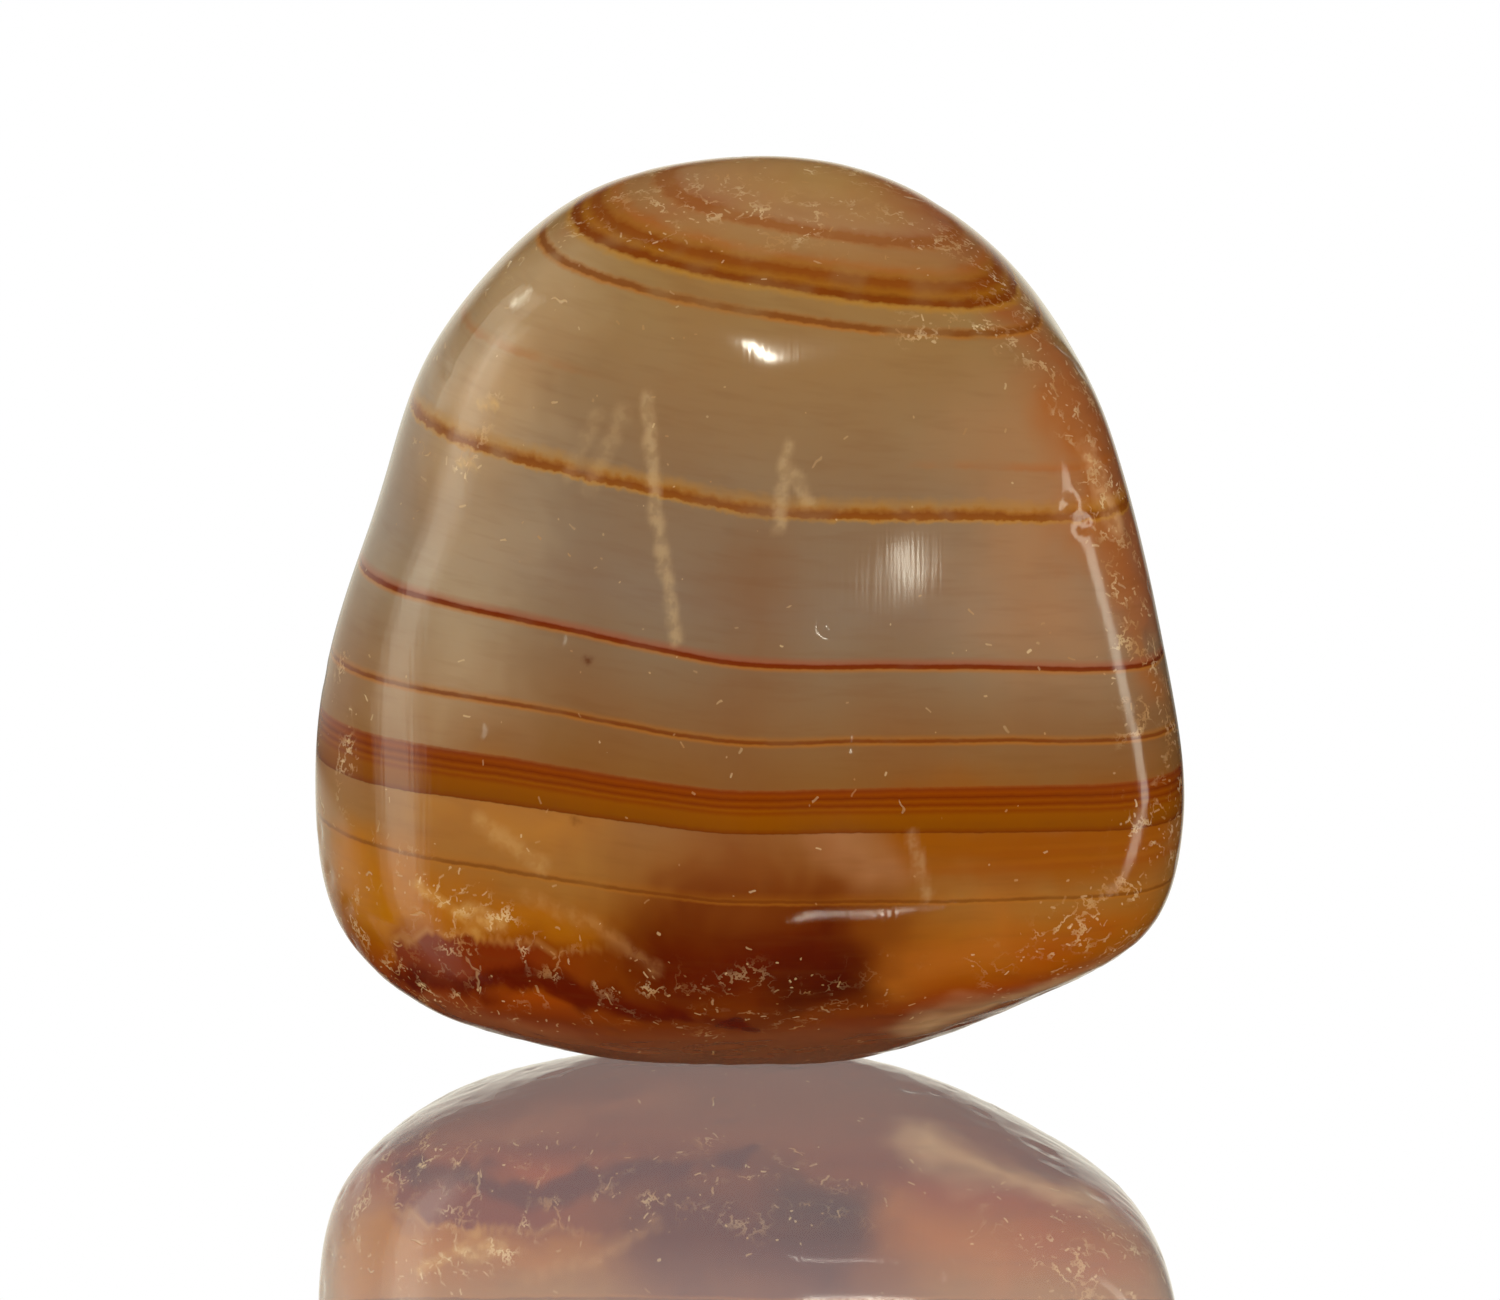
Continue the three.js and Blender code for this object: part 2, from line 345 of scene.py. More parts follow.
# How worn the edges are, and the lines where the polish is more worn than the edges alone would be. Wear
# comes in patches: each noise has its length, start and weight.
EDGE_WEAR = 0.85
WORN_EDGES = (0.5, 0.95)
WORN_CORE = 0.2
PATCH_NOISES = [(1.3, 5.5, 1.0), (0.5, 9.5, 0.5)]
PATCH_LEVELS = (-0.5, 0.1)
WORN_LINES = [
    {"line": [(6.3, 27.4), (8.2, 26.2), (9.8, 24.0), (10.7, 21.5)], "reach": 1.4, "wear": 1.0},
    {"line": [(5.0, 24.4), (8.2, 24.2), (10.1, 23.7)], "reach": 1.0, "wear": 1.0},
    {"line": [(11.2, 21.0), (12.6, 16.6)], "reach": 1.3, "wear": 1.0},
    {"line": [(-13.2, 13.5), (-13.0, 8.8)], "reach": 0.9, "wear": 0.7},
    {"line": [(-11.8, 7.0), (-8.2, 5.2)], "reach": 1.6, "wear": 0.8},
    {"line": [(-9.8, 4.8), (-3.0, 3.6)], "reach": 1.4, "wear": 0.55},
    {"line": [(-1.0, 1.6), (2.0, 3.6)], "reach": 1.2, "wear": 0.5},
    {"line": [(9.0, 4.6), (13.2, 7.4)], "reach": 1.3, "wear": 0.7},
    {"line": [(-11.0, 4.4), (0.0, 2.4), (11.0, 4.6)], "reach": 3.2, "wear": 0.3},
    {"line": [(-4.0, 29.0), (1.0, 29.0)], "reach": 1.2, "wear": 0.5},
    {"line": [(-4.5, 28.2), (0.0, 27.9), (4.8, 27.6)], "reach": 2.4, "wear": 0.55},
    {"line": [(-9.0, 19.9), (-8.0, 22.0)], "reach": 0.6, "wear": 0.7},
    {"line": [(-10.8, 20.6), (-9.0, 19.6)], "reach": 0.4, "wear": 0.6},
]

# Short scratches: the size of the cell that holds one, its length and width, the share of cells that have
# one on sound and on worn skin, how crooked it is, and its cover.
SCARS = [
    {"name": "fine dashes", "cell": 0.44, "length": 0.13, "width": 0.044,
     "sound": 0.04, "worn": 0.95, "crooked": 0.12, "cover": 0.55},
    {"name": "scratches", "cell": 1.25, "length": 0.36, "width": 0.055,
     "sound": 0.015, "worn": 0.8, "crooked": 0.28, "cover": 0.55},
]
SCAR_SOFTNESS = 0.4
FAINTEST_SCAR = 0.4
SCRATCH_DEPTH = 0.014
BEND_SCALE = 4.0

# The borders of flaked skin: the size of their bays, the lines' width and cover, the wear from which they
# set in and at which they are full, and how crooked and soft they are.
FLAKE_SIZE = 0.9
FLAKE_WIDTH = 0.03
FLAKE_COVER = 0.6
FLAKE_WEAR = (0.1, 0.7)
FLAKE_DETAIL = 4.0
FLAKE_CROOKED = 0.6
FLAKE_SOFTNESS = 0.3
SCAR_TONES = ((176, 128, 76), CREAM)

# Soft clouds, and threads drawn out along the layers.
CLOUD_COLOUR = (176, 140, 98)
CLOUD_COVER = 0.3
RAGGED_GRAIN = 0.3
THREAD_STRETCH = (0.14, 0.14, 0.0)
THREAD_SIZE = 0.4
THREAD_ROUGHNESS = 0.7
THREAD_LEVELS = (0.45, 0.75)
THREAD_COVER = 0.13
THREAD_COLOUR = (104, 56, 18)

# How scuffed the streaks are.
SCUFF_SIZE = 0.45
SCUFF_LEVELS = (0.38, 0.6)
SCUFF_SHARE = 0.6

# The polish: its roughness and what scars, wear and clouds add to it, and its hairlines.
POLISH_ROUGHNESS = 0.08
SCAR_ROUGHNESS = 0.15
WEAR_ROUGHNESS = 0.05
CLOUD_ROUGHNESS = 0.03
HAIR_TURN = (0.3, 0.9, 0.2)
HAIR_SCALE = (9.0, 1.0, 0.5)
HAIR_HEIGHT = 0.0008


def linear(colour):
    """A screen colour of 0 to 255 as the linear colour that Blender works in."""
    shares = np.array(colour, float) / 255
    low = shares / 12.92
    high = ((shares + 0.055) / 1.055) ** 2.4
    return (*np.where(shares <= 0.04045, low, high).tolist(), 1.0)


# Mesh

def cube_sphere(steps):
    """Directions on an even grid over a cube's six sides, and the quads between them."""
    line = np.tan(np.linspace(-math.pi / 4, math.pi / 4, steps + 1))
    u, v = np.meshgrid(line, line, indexing="ij")
    one = np.ones_like(u)
    sides = [(one, u, v), (-one, v, u), (v, one, u), (u, -one, v), (u, v, one), (v, u, -one)]
    points = np.concatenate([np.stack(side, axis=-1).reshape(-1, 3) for side in sides])
    corner = np.arange((steps + 1) ** 2).reshape(steps + 1, steps + 1)
    first = np.stack([corner[:-1, :-1], corner[1:, :-1], corner[1:, 1:], corner[:-1, 1:]], axis=-1)
    quads = np.concatenate([first.reshape(-1, 4) + k * corner.size for k in range(len(sides))])
    _, kept, shared = np.unique(np.round(points, 6), axis=0, return_index=True, return_inverse=True)
    points = points[kept]
    points /= np.linalg.norm(points, axis=1)[:, None]
    return points, shared.reshape(-1)[quads]


class Smoother:
    """Evens out values over a mesh by drawing each vertex halfway to its neighbours' mean."""

    def __init__(self, quads, count):
        pairs = np.concatenate([quads[:, [k, (k + 1) % 4]] for k in range(4)])
        pairs = np.unique(np.sort(pairs, axis=1), axis=0)
        self.ends = np.concatenate([pairs[:, 0], pairs[:, 1]])
        self.others = np.concatenate([pairs[:, 1], pairs[:, 0]])
        self.count = count
        self.neighbours = np.bincount(self.ends, minlength=count)

    def run(self, values, rounds):
        values = values.copy()
        for _ in range(rounds):
            for axis in range(values.shape[1]):
                total = np.bincount(self.ends, values[self.others, axis], self.count)
                values[:, axis] = (values[:, axis] + total / self.neighbours) / 2
        return values


def solid_tree(node):
    corners = [v.co / MM for v in node.data.vertices]
    return BVHTree.FromPolygons(corners, [tuple(p.vertices) for p in node.data.polygons])


def cast_onto(tree, directions):
    found = []
    for direction in directions:
        point, _, _, _ = tree.ray_cast(HEART, Vector(direction))
        found.append(point)
    return np.array(found)


def outward(points, quads):
    """Unit normals at the vertices."""
    across = np.cross(points[quads[:, 2]] - points[quads[:, 0]], points[quads[:, 3]] - points[quads[:, 1]])
    normals = np.zeros_like(points)
    for corner in range(4):
        for axis in range(3):
            normals[:, axis] += np.bincount(quads[:, corner], across[:, axis], len(points))
    return normals / np.linalg.norm(normals, axis=1)[:, None]


def noise_at(points, length, start):
    """Smooth noise of about -1 to 1 whose swells are about this long."""
    shift = Vector((start, 2 * start, 3 * start))
    return np.array([noise.noise(Vector(p) / length + shift) for p in points])


def soft_share(values, start, end):
    share = np.clip((values - start) / (end - start), 0, 1)
    return share * share * (3 - 2 * share)


# The size of each kind of mottling, and the levels between which it sets in. Each is a broad noise and a
# finer, weaker one, with these starts.
MOTTLES = [(4.5, -0.5, 0.6), (1.3, -0.1, 0.7), (0.6, -0.4, 0.35), (0.9, -0.6, 0.6)]
BROAD_START = 4.5
FINE_START = 8.5

# Relief under the smooth form, each noise with its length, depth and start. The foot is rough where it
# faces down, between these slopes.
WAVES = [(5.0, 0.016, 3.1), (1.9, 0.005, 7.7)]
FOOT_ROUGHNESS = [(1.3, 0.045, 11.3), (0.6, 0.02, 17.9)]
FOOT_SLOPES = (0.35, 0.8)

# Shallow chips, the likelier the more edged the place is, and likelier in the foot.
CHIP_COUNT = 260
CHIP_RADIUS = (0.22, 0.6)
CHIP_DEPTH = (0.015, 0.05)
CHIP_FLOOR = 0.3
CHIP_CHANCE = 0.02
FOOT_CHIP_CHANCE = 0.35


def relief_depth(points, normals, edge):
    """How far the surface lies under the smooth form: low waves, a rougher foot, and small chips."""
    depth = np.zeros(len(points))
    for length, height, start in WAVES:
        depth += height * (1 + noise_at(points, length, start))
    foot = soft_share(-normals[:, 2], *FOOT_SLOPES)
    for length, height, start in FOOT_ROUGHNESS:
        depth += height * foot * np.abs(noise_at(points, length, start))
    draw = np.random.default_rng(SEED)
    chance = CHIP_CHANCE + edge**2 + FOOT_CHIP_CHANCE * foot
    picked = draw.choice(len(points), CHIP_COUNT, replace=False, p=chance / chance.sum())
    for index in picked:
        radius = draw.uniform(*CHIP_RADIUS)
        hole = draw.uniform(*CHIP_DEPTH)
        distance = np.linalg.norm(points - points[index], axis=1)
        depth += hole * (1 - soft_share(distance, CHIP_FLOOR * radius, radius))
    return depth


class Front:
    """Finds the place on the solid that lies straight behind [x, z], seen from the front or the back."""

    def __init__(self, tree):
        self.tree = tree

    def point(self, x, z, side="front"):
        away = -1 if side == "front" else 1
        found, _, _, _ = self.tree.ray_cast(Vector((x, FAR * away, z)), Vector((0, -away, 0)))
        if found is None:
            found, _, _, _ = self.tree.find_nearest(Vector((x, 0, z)))
        return found

    def line(self, mark):
        """Places along the mark's line, close enough together to follow the surface."""
        places = []
        for (x, z), (next_x, next_z) in zip(mark["line"], mark["line"][1:]):
            steps = max(1, round(math.hypot(next_x - x, next_z - z) / LINE_STEP))
            for k in range(steps):
                places.append((x + (next_x - x) * k / steps, z + (next_z - z) * k / steps))
        places.append(mark["line"][-1])
        return [self.point(x, z, mark.get("side", "front")) for x, z in places]


def distance_to_line(points, line):
    """Distance from every point to a line through some places."""
    nearest = np.full(len(points), np.inf)
    for start, end in zip(line, line[1:]):
        along = np.array(end - start)
        offset = points - np.array(start)
        share = np.clip(offset @ along / (along @ along), 0, 1)
        nearest = np.minimum(nearest, np.linalg.norm(offset - share[:, None] * along, axis=1))
    return nearest


def warped(points, warps):
    """The points, each moved a little, so that what is laid by their places gets a ragged border."""
    for length, reach in warps:
        moves = np.array([noise.noise_vector(Vector(p) / length) for p in points])
        points = points + reach * moves
    return points


def paint_layer(places, marks, core, front):
    """All these marks as one layer: colour times cover, and cover, at every place."""
    layer = np.zeros((len(places), 4))
    for mark in marks:
        distance = distance_to_line(places, front.line(mark))
        full = mark.get("core", core) * mark["reach"]
        cover = mark["cover"] * soft_share(distance, mark["reach"], full)
        layer *= 1 - cover[:, None]
        layer += cover[:, None] * np.array(linear(mark["colour"]))
    return layer


def mottle_layer(points):
    """Four noises of 0 to 1: broad clouds, weak spots of the bands, patches of wear and pale tones."""
    channels = []
    for length, low, high in MOTTLES:
        broad = noise_at(points, length, BROAD_START)
        fine = noise_at(points, length / 2, FINE_START)
        channels.append(soft_share(broad + fine / 2, low, high))
    return np.stack(channels, axis=1)


def add_layer(mesh, name, values):
    """Keeps values at the vertices, one number or four for each."""
    values = np.asarray(values, np.float32)
    if values.ndim == 1:
        mesh.attributes.new(name, "FLOAT", "POINT").data.foreach_set("value", values)
    else:
        mesh.attributes.new(name, "FLOAT_COLOR", "POINT").data.foreach_set("color", values.ravel())


def layer_heights(points):
    """The height of every point in the stone's layers, which lean back, dip, fan out and waver a little."""
    x, y, z = points.T
    above = z - HEART.z
    height = z + LAYER_LEAN["x"] * x + LAYER_LEAN["y"] * y
    height += LAYER_FAN["x"] * x * above + LAYER_FAN["y"] * y * above
    for length, rise, start in LAYER_WAVES:
        height += rise * noise_at(points, length, start)
    return height


def wear_layer(points, edge, front):
    """How worn the polish is, from 0 to 1: along the edges and on the named lines, in patches."""
    wear = EDGE_WEAR * soft_share(edge, *WORN_EDGES)
    for line in WORN_LINES:
        distance = distance_to_line(points, front.line(line))
        worn = line["wear"] * soft_share(distance, line["reach"], WORN_CORE * line["reach"])
        wear = np.maximum(wear, worn)
    patches = sum(weight * noise_at(points, length, start) for length, start, weight in PATCH_NOISES)
    return wear * soft_share(patches, *PATCH_LEVELS)


def stone_mesh(tree):
    directions, quads = cube_sphere(GRID_STEPS)
    smoother = Smoother(quads, len(directions))
    points = smoother.run(cast_onto(tree, directions), FINE_SMOOTHING)
    normals = outward(points, quads)
    broad = smoother.run(points, BROAD_SMOOTHING)
    bulge = np.einsum("ij,ij->i", points - broad, normals)
    edge = np.clip(bulge / EDGE_REACH, 0, 1)
    points -= normals * relief_depth(points, normals, edge)[:, None]
    points[:, 2] = np.maximum(points[:, 2], 0)
    mesh = bpy.data.meshes.new("sardonyx_stone")
    mesh.from_pydata((points * MM).tolist(), [], quads.tolist())
    mesh.polygons.foreach_set("use_smooth", np.ones(len(quads), bool))
    front = Front(tree)
    add_layer(mesh, "layer", layer_heights(points))
    add_layer(mesh, "wear", wear_layer(points, edge, front))
    add_layer(mesh, "mottle", mottle_layer(points))
    # The stain layer holds real stains and painted light and shade: paler faces, a darker crease and a glow.
    add_layer(mesh, "stain_and_painted_light", paint_layer(warped(points, STAIN_AND_LIGHT_WARPS), STAINS_AND_PAINTED_LIGHT, STAIN_AND_LIGHT_CORE, front))
    add_layer(mesh, "streak", paint_layer(warped(points, STREAK_WARPS), STREAKS, STREAK_CORE, front))
    return mesh


# Material nodes

HALF = (0.5, 0.5, 0.5)


class Graph:
    """Adds nodes to one tree. A value may be a number, a vector, a colour or another node's output."""

    def __init__(self, tree):
        self.tree = tree

    def node(self, kind, values=(), **settings):
        made = self.tree.nodes.new(kind)
        for name, setting in settings.items():
            setattr(made, name, setting)
        for key, value in dict(values).items():
            if isinstance(value, bpy.types.NodeSocket):
                self.tree.links.new(value, made.inputs[key])
            else:
                made.inputs[key].default_value = value
        return made

    def maths(self, operation, *values):
        return self.node("ShaderNodeMath", enumerate(values), operation=operation).outputs[0]

    def total(self, *values):
        result = values[0]
        for value in values[1:]:
            result = self.maths("ADD", result, value)
        return result

    def product(self, *values):
        result = values[0]
        for value in values[1:]:
            result = self.maths("MULTIPLY", result, value)
        return result

    def vector(self, operation, *values):
        return self.node("ShaderNodeVectorMath", enumerate(values), operation=operation)

    def scale(self, vector, factor):
        return self.node("ShaderNodeVectorMath", {0: vector, "Scale": factor}, operation="SCALE").outputs[0]

    def kept(self, name):
        """A layer kept at the vertices."""
        return self.node("ShaderNodeAttribute", attribute_name=name)

    def spread(self, value, low, high):
        """0 at low and 1 at high."""
        return self.maths("MULTIPLY_ADD", value, 1 / (high - low), scaled(0, low, high))

    def step(self, value, start, end):
        """0 before the start, 1 after the end, and smooth between them. The end may come first."""
        low, high = min(start, end), max(start, end)
        values = {"Value": value, "From Min": low, "From Max": high}
        values["To Min"], values["To Max"] = (0.0, 1.0) if start < end else (1.0, 0.0)
        made = self.node("ShaderNodeMapRange", values, interpolation_type="SMOOTHSTEP")
        return made.outputs["Result"]

    def blend(self, share, under, over, mode="MIX"):
        made = self.node("ShaderNodeMix", data_type="RGBA", blend_type=mode)
        for index, value in ((0, share), (6, under), (7, over)):
            if isinstance(value, bpy.types.NodeSocket):
                self.tree.links.new(value, made.inputs[index])
            else:
                made.inputs[index].default_value = value
        return made.outputs[2]

    def ramp(self, value, stops):
        """A colour ramp with stops of place, linear colour and cover. Gives colour and cover."""
        made = self.node("ShaderNodeValToRGB", {0: value})
        elements = made.color_ramp.elements
        while len(elements) < len(stops):
            elements.new(0.5)
        for element, (place, colour, cover) in zip(elements, stops):
            element.position = place
            element.color = (*colour[:3], cover)
        return made.outputs["Color"], made.outputs["Alpha"]

    def noise(self, place, size, detail=2.0, roughness=0.5):
        """Noise of 0 to 1 whose grains are about this size in millimetres."""
        values = {"Vector": place, "Scale": 1 / size, "Detail": detail, "Roughness": roughness}
        return self.node("ShaderNodeTexNoise", values).outputs["Fac"]

    def wobble(self, place, size, height, detail=2.0):
        """Noise centred on 0, of about this height."""
        return self.maths("MULTIPLY_ADD", self.noise(place, size, detail), 2 * height, -height)


def scaled(value, low, high):
    return (value - low) / (high - low)


def ramp_stops(stops, low, high):
    return [(scaled(place, low, high), linear(colour), cover) for place, colour, cover in stops]


def new_graph(owner):
    """Empties the nodes of a material or world, and gives a graph that builds new ones."""
    owner.use_nodes = True
    owner.node_tree.nodes.clear()
    return Graph(owner.node_tree)


def bent(g, layer, x, x_square, band):
    """Height over a band's edge, for its own rise and bow."""
    lifted = g.maths("MULTIPLY_ADD", x, band["rise"] / 10, layer)
    bowed = g.maths("MULTIPLY_ADD", x_square, band["bow"] / 100, lifted)
    return g.maths("SUBTRACT", bowed, band["level"])


def lay_bands(g, colour, layer, x, x_square, ragged, weak):
    for band in BANDS:
        height = bent(g, layer, x, x_square, band)
        height = g.maths("MULTIPLY_ADD", ragged, band["ragged"], height)
        stops = ramp_stops(band["stops"], STOPS_LOW, STOPS_HIGH)
        over, cover = g.ramp(g.spread(height, STOPS_LOW, STOPS_HIGH), stops)
        kept = g.maths("MULTIPLY_ADD", weak, -band["cover"] * band["broken"], band["cover"])
        if "side" in band:
            kept = g.product(kept, g.step(x, *band["side"]))
        colour = g.blend(g.product(cover, kept), colour, over)
    return colour


def lay_wide_band(g, colour, layer, x, x_square, ragged):
    over_bottom = bent(g, layer, x, x_square, WIDE_BOTTOM)
    over_top = bent(g, layer, x, x_square, WIDE_TOP)
    thickness = g.maths("SUBTRACT", over_bottom, over_top)
    share = g.maths("DIVIDE", g.maths("MULTIPLY_ADD", ragged, WIDE_RAGGED, over_bottom), thickness)
    low, high = -WIDE_MARGIN, 1 + WIDE_MARGIN
    over, cover = g.ramp(g.spread(share, low, high), ramp_stops(WIDE_STOPS, low, high))
    return g.blend(cover, colour, over)


def lay_layer(g, colour, name, share=1.0):
    """Lays this share of a layer kept at the vertices over the colour."""
    layer = g.kept(name)
    bare = g.maths("SUBTRACT", 1.0, g.product(layer.outputs["Alpha"], share))
    over = g.scale(layer.outputs["Color"], share)
    return g.vector("ADD", g.scale(colour, bare), over).outputs[0]


def body_colour(g, layer, clouds):
    """The layers' own colour, the stains in the skin with painted light and shade, and soft clouds."""
    stops = ramp_stops([(place, colour, 1.0) for place, colour in BODY], BODY_LOW, BODY_HIGH)
    colour, _ = g.ramp(g.spread(layer, BODY_LOW, BODY_HIGH), stops)
    # Lays the stains together with painted light and shade: paler faces, a darker crease and a glow.
    colour = lay_layer(g, colour, "stain_and_painted_light")
    return g.blend(g.product(clouds, CLOUD_COVER), colour, linear(CLOUD_COLOUR), "SOFT_LIGHT")


def lay_threads(g, colour, place, layer):
    """Faint dark threads along the layers."""
    drawn_out = g.vector("MULTIPLY", place, THREAD_STRETCH).outputs[0]
    height = g.node("ShaderNodeCombineXYZ", {"Z": layer}).outputs[0]
    drawn_out = g.vector("ADD", drawn_out, height).outputs[0]
    threads = g.noise(drawn_out, THREAD_SIZE, roughness=THREAD_ROUGHNESS)
    cover = g.product(g.step(threads, *THREAD_LEVELS), THREAD_COVER)
    return g.blend(cover, colour, linear(THREAD_COLOUR))


def lay_streaks(g, colour, place):
    scuffed = g.step(g.noise(place, SCUFF_SIZE), *SCUFF_LEVELS)
    return lay_layer(g, colour, "streak", g.maths("MULTIPLY_ADD", scuffed, SCUFF_SHARE, 1 - SCUFF_SHARE))


def along_surface(g, offset, normal):
    """The part of an offset that runs along the surface."""
    lift = g.vector("DOT_PRODUCT", offset, normal).outputs["Value"]
    return g.vector("SUBTRACT", offset, g.scale(normal, lift)).outputs[0]


def distance_to_dash(g, offset, turn, half):
    """Distance to a straight dash through the middle that reaches this far to both sides."""
    along = g.vector("DOT_PRODUCT", offset, turn).outputs["Value"]
    along = g.maths("MINIMUM", g.maths("MAXIMUM", along, g.product(half, -1.0)), half)
    return g.vector("DISTANCE", offset, g.scale(turn, along)).outputs["Value"]


def scar_share(g, place, bend, normal, wear, scar):
    """0 to 1 where a short scratch of this kind lies in the tangent plane of its cell."""
    bent_place = g.vector("ADD", place, g.scale(bend, scar["crooked"])).outputs[0]
    cells = g.node("ShaderNodeTexVoronoi", {"Vector": bent_place, "Scale": 1 / scar["cell"]})
    middle = cells.outputs["Position"]
    offset = along_surface(g, g.vector("SUBTRACT", bent_place, middle).outputs[0], normal)
    turn = g.vector("SUBTRACT", cells.outputs["Color"], HALF).outputs[0]
    turn = g.vector("NORMALIZE", g.vector("CROSS_PRODUCT", normal, turn).outputs[0]).outputs[0]
    random = g.node("ShaderNodeTexWhiteNoise", {"Vector": middle}).outputs["Color"]
    chance, longer, strength = g.node("ShaderNodeSeparateColor", {0: random}).outputs
    distance = distance_to_dash(g, offset, turn, g.product(longer, longer, scar["length"]))
    limit = g.maths("MULTIPLY_ADD", wear, scar["worn"], scar["sound"])
    shown = g.maths("LESS_THAN", chance, limit)
    strength = g.maths("MULTIPLY_ADD", strength, 1 - FAINTEST_SCAR, FAINTEST_SCAR)
    return g.product(g.step(distance, scar["width"], SCAR_SOFTNESS * scar["width"]), shown, strength)


def flake_borders(g, place):
    """Crooked thin lines, as along the borders of flaked skin."""
    level = g.noise(place, FLAKE_SIZE, FLAKE_DETAIL, FLAKE_CROOKED)
    off = g.maths("ABSOLUTE", g.maths("SUBTRACT", level, 0.5))
    return g.step(off, FLAKE_WIDTH, FLAKE_SOFTNESS * FLAKE_WIDTH)


def lay_scars(g, colour, place, wear, patchy, pale):
    """Lays flakes and short scratches over the colour. Gives the colour and each kind of scratch's share."""
    bend = g.node("ShaderNodeTexNoise", {"Vector": place, "Scale": BEND_SCALE, "Detail": 0.0})
    bend = g.vector("SUBTRACT", bend.outputs["Color"], HALF).outputs[0]
    normal = g.node("ShaderNodeNewGeometry").outputs["Normal"]
    shares = [scar_share(g, place, bend, normal, wear, scar) for scar in SCARS]
    tone = g.blend(pale, *(linear(tone) for tone in SCAR_TONES))
    flakes = g.product(flake_borders(g, place), patchy, g.step(wear, *FLAKE_WEAR))
    colour = g.blend(g.product(flakes, FLAKE_COVER), colour, tone)
    for scar, share in zip(SCARS, shares):
        colour = g.blend(g.product(share, scar["cover"]), colour, tone)
    return colour, shares


def fine_bump(g, place, scratches):
    """Heights in millimetres: the scratches and the polish's hairlines."""
    hairs = g.node("ShaderNodeMapping", {"Vector": place, "Rotation": HAIR_TURN, "Scale": HAIR_SCALE})
    height = g.wobble(hairs.outputs[0], 1.0, HAIR_HEIGHT, 0.0)
    height = g.maths("MULTIPLY_ADD", scratches, -SCRATCH_DEPTH, height)
    return g.node("ShaderNodeBump", {"Strength": 1.0, "Distance": MM, "Height": height}).outputs[0]


def stone_material():
    material = bpy.data.materials.new("banded_chalcedony")
    g = new_graph(material)
    place = g.scale(g.node("ShaderNodeTexCoord").outputs["Object"], 1 / MM)
    x = g.node("ShaderNodeSeparateXYZ", {0: place}).outputs[0]
    x_square = g.product(x, x)
    layer = g.kept("layer").outputs["Fac"]
    wear = g.kept("wear").outputs["Fac"]
    mottle = g.kept("mottle")
    clouds, weak, patchy = g.node("ShaderNodeSeparateColor", {0: mottle.outputs["Color"]}).outputs
    ragged = g.wobble(place, RAGGED_GRAIN, 1.0)
    colour = body_colour(g, layer, clouds)
    colour = lay_bands(g, colour, layer, x, x_square, ragged, weak)
    colour = lay_wide_band(g, colour, layer, x, x_square, ragged)
    colour = lay_threads(g, colour, place, layer)
    colour = lay_streaks(g, colour, place)
    colour, scars = lay_scars(g, colour, place, wear, patchy, mottle.outputs["Alpha"])
    rough = g.total(
        g.product(g.maths("MAXIMUM", *scars), SCAR_ROUGHNESS),
        g.product(wear, WEAR_ROUGHNESS),
        g.product(clouds, CLOUD_ROUGHNESS),
        POLISH_ROUGHNESS,
    )
    shader = g.node("ShaderNodeBsdfPrincipled", {
        "Base Color": colour,
        "Normal": fine_bump(g, place, scars[-1]),
        "Roughness": rough,
        "IOR": 1.54,
        "Subsurface Weight": 0.35,
        "Subsurface Radius": (1.0, 0.6, 0.35),
        "Subsurface Scale": 0.0012,
    })
    g.node("ShaderNodeOutputMaterial", {"Surface": shader.outputs[0]})
    return material


# Staging

# The floor: its radius, the radius where it begins to fade, and how its mirror sets in at grazing angles.
FLOOR_RADIUS = 130.0
FLOOR_FADE = 90.0
FLOOR_CORNERS = 96
FLOOR_MIRROR = 0.88
FLOOR_IOR = 1.5
FLOOR_GRAZING = (0.04, 0.4)

# What the stone mirrors of the world: bright low down behind it and at its left, dark elsewhere. Each
# pair holds where along an axis of the direction this sets in, or ends, and where it is full.
WORLD_DARK = 0.03
WORLD_BRIGHT = 1.0
LOW_START = (-0.12, 0.02)
LOW_END = (0.45, 0.2)
BEHIND_START = (-0.2, 0.35)
RIGHT_END = (0.45, 0.1)

# A path from the camera by the floor to the world has less than this depth.
FLOOR_DEPTH = 2.5

LAMP_DISTANCE = 320.0
WARM_LIGHT = (1.0, 0.96, 0.8)
WHITE_LIGHT = (1.0, 1.0, 1.0)

# Each lamp's place as seen from the stone, its width and height, turn and brightness next to white. The
# fills light the stone, and aren't mirrored in it.
LAMPS = [
    {"name": "left_softbox", "azimuth": -88, "elevation": 30, "size": (150, 180), "brightness": 1.0},
    {"name": "left_core", "azimuth": -73, "elevation": 12, "size": (50, 200), "brightness": 1.4},
    {"name": "left_halo", "azimuth": -74, "elevation": 13, "size": (90, 230), "brightness": 0.8},
    {"name": "right_softbox", "azimuth": 47, "elevation": 6, "size": (40, 190), "turn": 40,
     "brightness": 4.8},
    {"name": "upper_spot", "azimuth": -16, "elevation": 55, "size": (3, 46), "turn": 40,
     "brightness": 230.0},
    {"name": "lower_spot", "azimuth": 7, "elevation": 9, "size": (2, 30), "turn": 42, "brightness": 66.0},
    {"name": "left_fill", "azimuth": -55, "elevation": 20, "size": (420, 420), "brightness": 1.2},
    {"name": "right_fill", "azimuth": 45, "elevation": 20, "size": (420, 420), "brightness": 1.3},
    {"name": "back_fill", "azimuth": 180, "elevation": 25, "size": (420, 420), "brightness": 1.2},
    {"name": "top_fill", "azimuth": 0, "elevation": 80, "size": (420, 420), "brightness": 0.75},
    {"name": "under_fill", "azimuth": 0, "elevation": -50, "size": (420, 420), "brightness": 2.45,
     "colour": (1.0, 0.92, 0.72)},
]


def toward(azimuth, elevation):
    turn, rise = math.radians(azimuth), math.radians(elevation)
    return Vector((math.sin(turn) * math.cos(rise), -math.cos(turn) * math.cos(rise), math.sin(rise)))


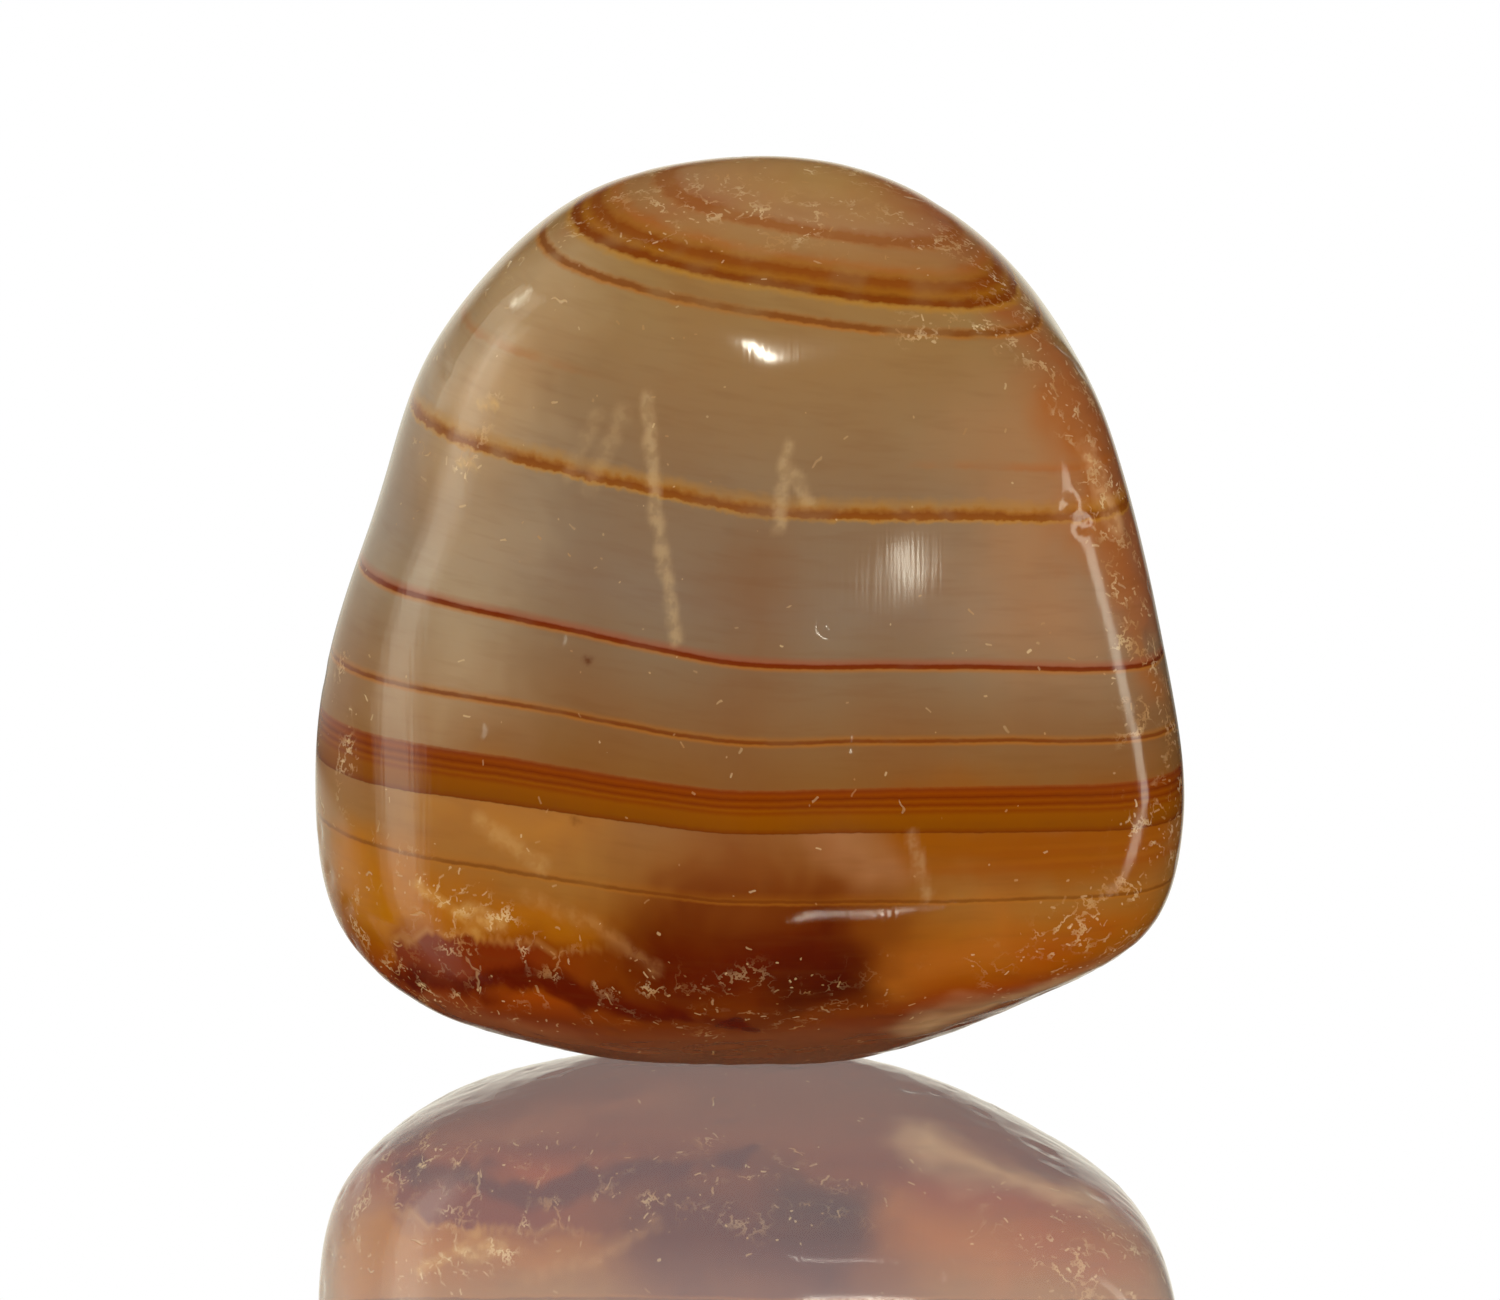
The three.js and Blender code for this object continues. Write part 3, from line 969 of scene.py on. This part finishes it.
def add_lamp(lamp):
    """A rectangle that faces the stone, with the power that makes it this bright."""
    data = bpy.data.lights.new(lamp["name"], "AREA")
    data.shape = "RECTANGLE"
    data.size, data.size_y = (length * MM for length in lamp["size"])
    data.energy = lamp["brightness"] * math.pi * data.size * data.size_y
    made = bpy.data.objects.new(lamp["name"], data)
    direction = toward(lamp["azimuth"], lamp["elevation"])
    made.location = (HEART + direction * LAMP_DISTANCE) * MM
    made.rotation_mode = "QUATERNION"
    turn = Quaternion((0, 0, 1), math.radians(lamp.get("turn", 0)))
    made.rotation_quaternion = direction.to_track_quat("Z", "Y") @ turn
    made.visible_glossy = "fill" not in lamp["name"]
    data.color = lamp.get("colour", WARM_LIGHT if made.visible_glossy else WHITE_LIGHT)
    made.visible_camera = False
    bpy.context.scene.collection.objects.link(made)


def add_world():
    """White where the camera sees it, also in the floor, and a room of dark and light for the stone."""
    world = bpy.data.worlds.new("studio")
    g = new_graph(world)
    direction = g.node("ShaderNodeTexCoord").outputs["Generated"]
    aside, behind, above = g.node("ShaderNodeSeparateXYZ", {0: direction}).outputs
    low = g.product(g.step(above, *LOW_START), g.step(above, *LOW_END))
    share = g.product(g.step(behind, *BEHIND_START), low, g.step(aside, *RIGHT_END))
    bright = g.maths("MULTIPLY_ADD", share, WORLD_BRIGHT - WORLD_DARK, WORLD_DARK)
    path = g.node("ShaderNodeLightPath").outputs
    by_floor = g.product(path["Is Singular Ray"], g.maths("LESS_THAN", path["Ray Depth"], FLOOR_DEPTH))
    seen = g.maths("MAXIMUM", path["Is Camera Ray"], by_floor)
    strength = g.maths("MAXIMUM", bright, seen)
    colour = g.blend(seen, (*WARM_LIGHT, 1.0), (*WHITE_LIGHT, 1.0))
    shader = g.node("ShaderNodeBackground", {"Color": colour, "Strength": strength})
    g.node("ShaderNodeOutputWorld", {"Surface": shader.outputs[0]})
    bpy.context.scene.world = world


def floor_material():
    """A pale mirror seen from above, clear from below and towards its rim."""
    material = bpy.data.materials.new("pale_floor")
    g = new_graph(material)
    metres = g.node("ShaderNodeTexCoord").outputs["Object"]
    distance = g.vector("LENGTH", metres).outputs["Value"]
    fade = g.step(distance, FLOOR_RADIUS * MM, FLOOR_FADE * MM)
    grazing = g.node("ShaderNodeFresnel", {"IOR": FLOOR_IOR}).outputs[0]
    start, end = FLOOR_GRAZING
    share = g.node("ShaderNodeMapRange", {
        "Value": grazing, "From Min": start, "From Max": end, "To Max": FLOOR_MIRROR,
    })
    clear = g.node("ShaderNodeBsdfTransparent")
    mirror = g.node("ShaderNodeBsdfGlossy", {"Color": (1, 1, 1, 1), "Roughness": 0.0})
    above = g.maths("SUBTRACT", 1.0, g.node("ShaderNodeNewGeometry").outputs["Backfacing"])
    shader = g.node("ShaderNodeMixShader", {
        0: g.product(fade, share.outputs[0], above),
        1: clear.outputs[0],
        2: mirror.outputs[0],
    })
    g.node("ShaderNodeOutputMaterial", {"Surface": shader.outputs[0]})
    return material


def add_floor():
    angles = [2 * math.pi * k / FLOOR_CORNERS for k in range(FLOOR_CORNERS)]
    radius = FLOOR_RADIUS * MM
    corners = [(radius * math.cos(a), radius * math.sin(a), 0) for a in angles]
    mesh = bpy.data.meshes.new("floor")
    mesh.from_pydata(corners, [], [tuple(range(FLOOR_CORNERS))])
    mesh.materials.append(floor_material())
    floor = bpy.data.objects.new("floor", mesh)
    bpy.context.scene.collection.objects.link(floor)


def add_camera():
    data = bpy.data.cameras.new("camera")
    data.lens = CAMERA_LENS
    data.sensor_width = CAMERA_SENSOR
    data.clip_start, data.clip_end = CAMERA_CLIP
    camera = bpy.data.objects.new("camera", data)
    back = toward(0, CAMERA_ELEVATION)
    camera.location = (CAMERA_TARGET + back * CAMERA_DISTANCE) * MM
    camera.rotation_mode = "QUATERNION"
    camera.rotation_quaternion = (-back).to_track_quat("-Z", "Y")
    bpy.context.scene.collection.objects.link(camera)
    bpy.context.scene.camera = camera


solid = solid_tree(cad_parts["stone"])
stone = bpy.data.objects.new("sardonyx", stone_mesh(solid))
stone.data.materials.append(stone_material())
bpy.context.scene.collection.objects.link(stone)
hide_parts("stone")
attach(stone, "root")

for lamp in LAMPS:
    add_lamp(lamp)
add_world()
add_floor()
add_camera()
bpy.context.scene.view_settings.view_transform = "Standard"
